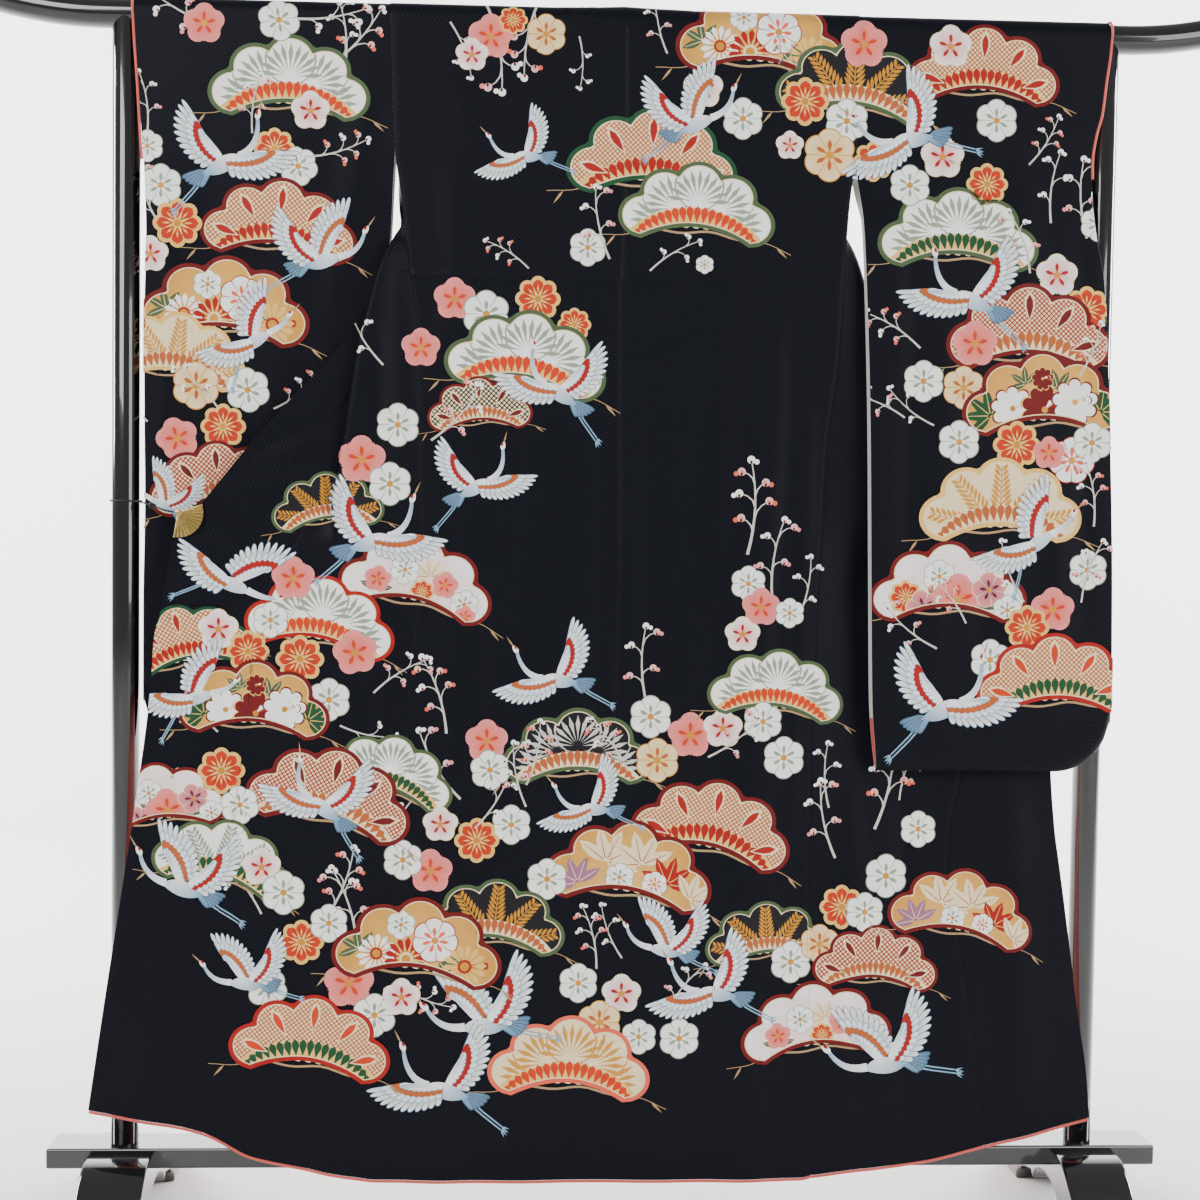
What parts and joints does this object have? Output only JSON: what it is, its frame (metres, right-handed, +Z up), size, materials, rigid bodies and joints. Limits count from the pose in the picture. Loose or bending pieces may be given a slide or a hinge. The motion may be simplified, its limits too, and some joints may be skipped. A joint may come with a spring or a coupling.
{
  "type": "furisode kimono on a kimono stand",
  "caption": "Long-sleeved formal silk kimono spread back outwards over the rail of a lacquered stand, fronts drawn out beside the back, hem padded and rounded",
  "frame": {"origin": "on the floor, midway between the two feet and the two uprights", "axes": "+X along the rail, towards the wearer's right sleeve; +Y away from the side that the back of the kimono faces; +Z up"},
  "size_m": [1.8136, 0.43, 1.7148],
  "materials": {
    "lacquer": "gloss black lacquer",
    "silk": "satin silk",
    "lining": "plain silk crepe",
    "brass": "satin",
    "cord": "matt cord"
  },
  "bodies": {
    "root": {"stand_rail": "lacquer", "stand_board": "lacquer", "stand_upright_left": "lacquer", "stand_upright_right": "lacquer", "stand_foot_left": "lacquer", "stand_foot_right": "lacquer", "back_shoulder_left": "silk", "back_left": "silk", "front_shoulder_left": "silk", "front_chest_left": "silk", "front_waist_left": "silk", "front_left": "silk", "okumi_left": "silk", "collar_left": "silk", "sleeve_left": "silk", "hem_roll_back_left": "lining", "hem_roll_front_left": "lining", "hem_roll_okumi_left": "lining", "cuff_roll_left": "lining", "back_shoulder_right": "silk", "back_right": "silk", "front_shoulder_right": "silk", "front_chest_right": "silk", "front_waist_right": "silk", "front_right": "silk", "okumi_right": "silk", "collar_right": "silk", "sleeve_right": "silk", "hem_roll_back_right": "lining", "hem_roll_front_right": "lining", "hem_roll_okumi_right": "lining", "cuff_roll_right": "lining", "clip_fan": "brass", "clip_jaw": "brass", "clip_cord": "cord"}
  },
  "joints": []
}
